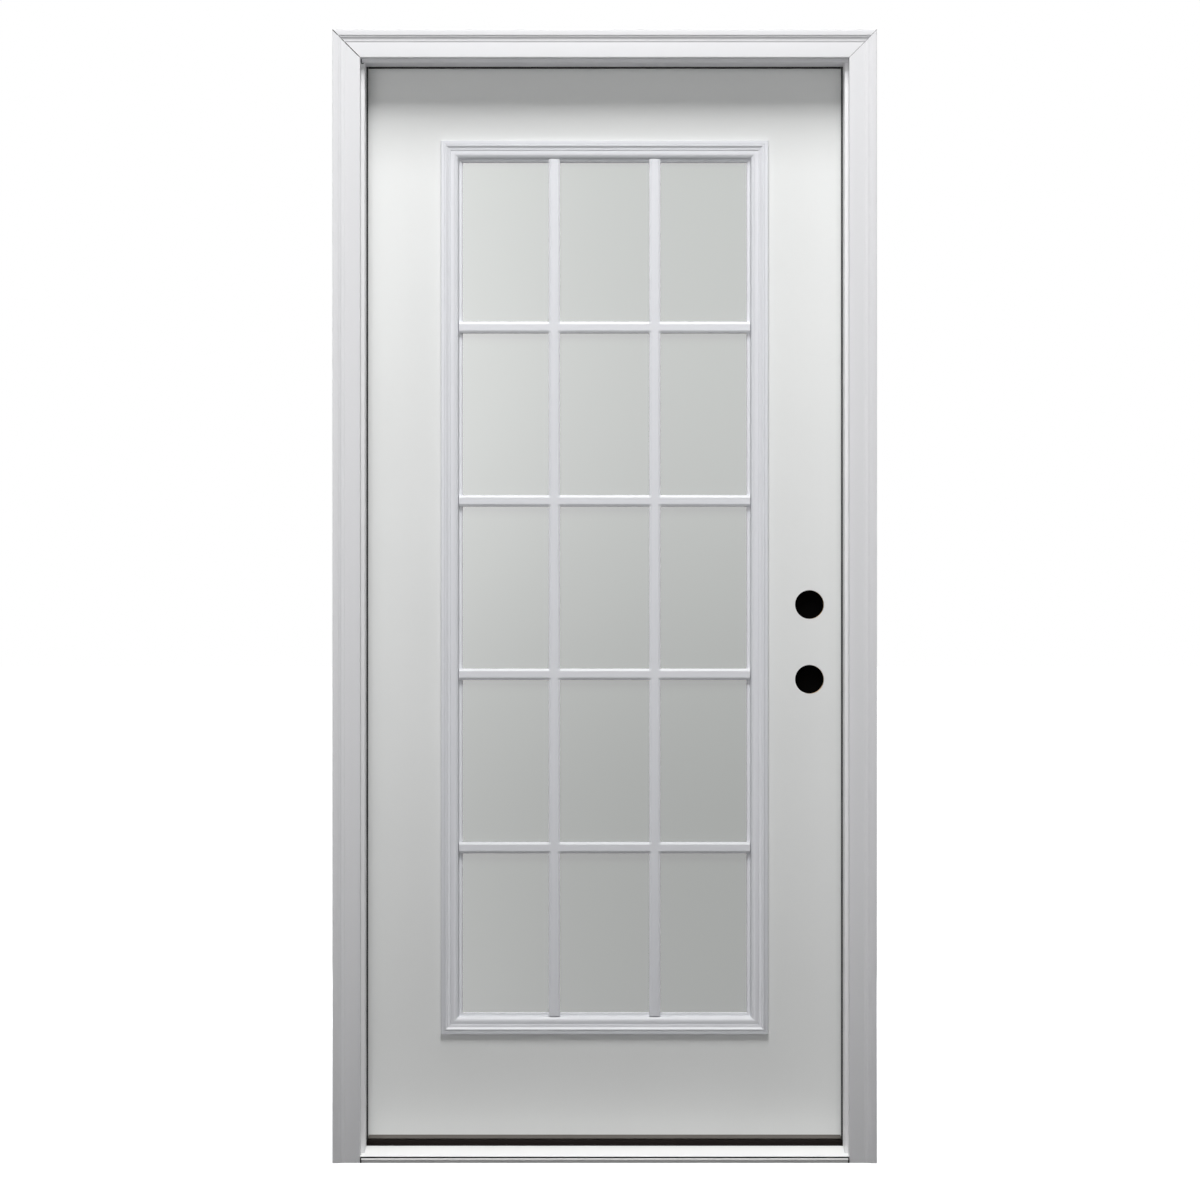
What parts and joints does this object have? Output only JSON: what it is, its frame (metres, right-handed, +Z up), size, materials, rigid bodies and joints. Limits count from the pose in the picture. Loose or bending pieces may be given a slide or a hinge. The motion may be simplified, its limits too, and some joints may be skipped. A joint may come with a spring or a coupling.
{
  "type": "prehung steel front door",
  "caption": "Steel-skinned entrance door with a tall glazed panel and raised grille, hung on butt hinges in a rabbeted frame with moulded casing and a low sill.",
  "frame": {"origin": "middle of the sill's underside, in the plane of the jambs' outer edges, where the casing's back lies against the wall", "axes": "+Z up, -Y to the outside of the house, +Y to the inside, +X from the hinge side to the lock side as seen from outside"},
  "size_m": [1.005, 0.1613, 2.0926],
  "materials": {
    "primed_steel": "factory primer, satin",
    "primed_wood": "white primer, satin",
    "lite_plastic": "moulded, satin",
    "clear_glass": "clear",
    "spacer_aluminium": "mill finish",
    "raw_wood": "planed softwood",
    "foam": "rigid foam",
    "mill_aluminium": "mill finish, ribbed",
    "dark_cap": "dark bronze, matt",
    "seal_rubber": "dark skin over foam",
    "sweep_vinyl": "grey vinyl",
    "zinc_steel": "satin nickel"
  },
  "bodies": {
    "frame": {"casing_head": "primed_wood", "casing_hinge_side": "primed_wood", "casing_lock_side": "primed_wood", "head_jamb": "primed_wood", "hinge_jamb": "primed_wood", "lock_jamb": "primed_wood", "sill_tread": "mill_aluminium", "sill_body": "raw_wood", "threshold_cap": "dark_cap", "hinge_side_seal": "seal_rubber", "lock_side_seal": "seal_rubber", "head_seal": "seal_rubber", "jamb_hinge_plate_low": "zinc_steel", "hinge_pin_low": "zinc_steel", "jamb_hinge_plate_middle": "zinc_steel", "hinge_pin_middle": "zinc_steel", "jamb_hinge_plate_high": "zinc_steel", "hinge_pin_high": "zinc_steel"},
    "door": {"outer_skin": "primed_steel", "inner_skin": "primed_steel", "hinge_stile": "raw_wood", "lock_stile": "raw_wood", "top_rail": "raw_wood", "bottom_rail": "raw_wood", "lock_block": "raw_wood", "foam_core": "foam", "outer_surround": "lite_plastic", "inner_surround": "lite_plastic", "outer_grille": "lite_plastic", "inner_grille": "lite_plastic", "outer_glass": "clear_glass", "inner_glass": "clear_glass", "glass_spacer": "spacer_aluminium", "door_sweep": "sweep_vinyl", "door_hinge_plate_low": "zinc_steel", "door_hinge_plate_middle": "zinc_steel", "door_hinge_plate_high": "zinc_steel"}
  },
  "joints": [
    {"name": "door_swing", "type": "hinge", "parent": "frame", "child": "door", "pos_m": [-0.45653, 0.1231, 1], "axis": [0, 0, 1], "range_deg": [0, 170]}
  ]
}
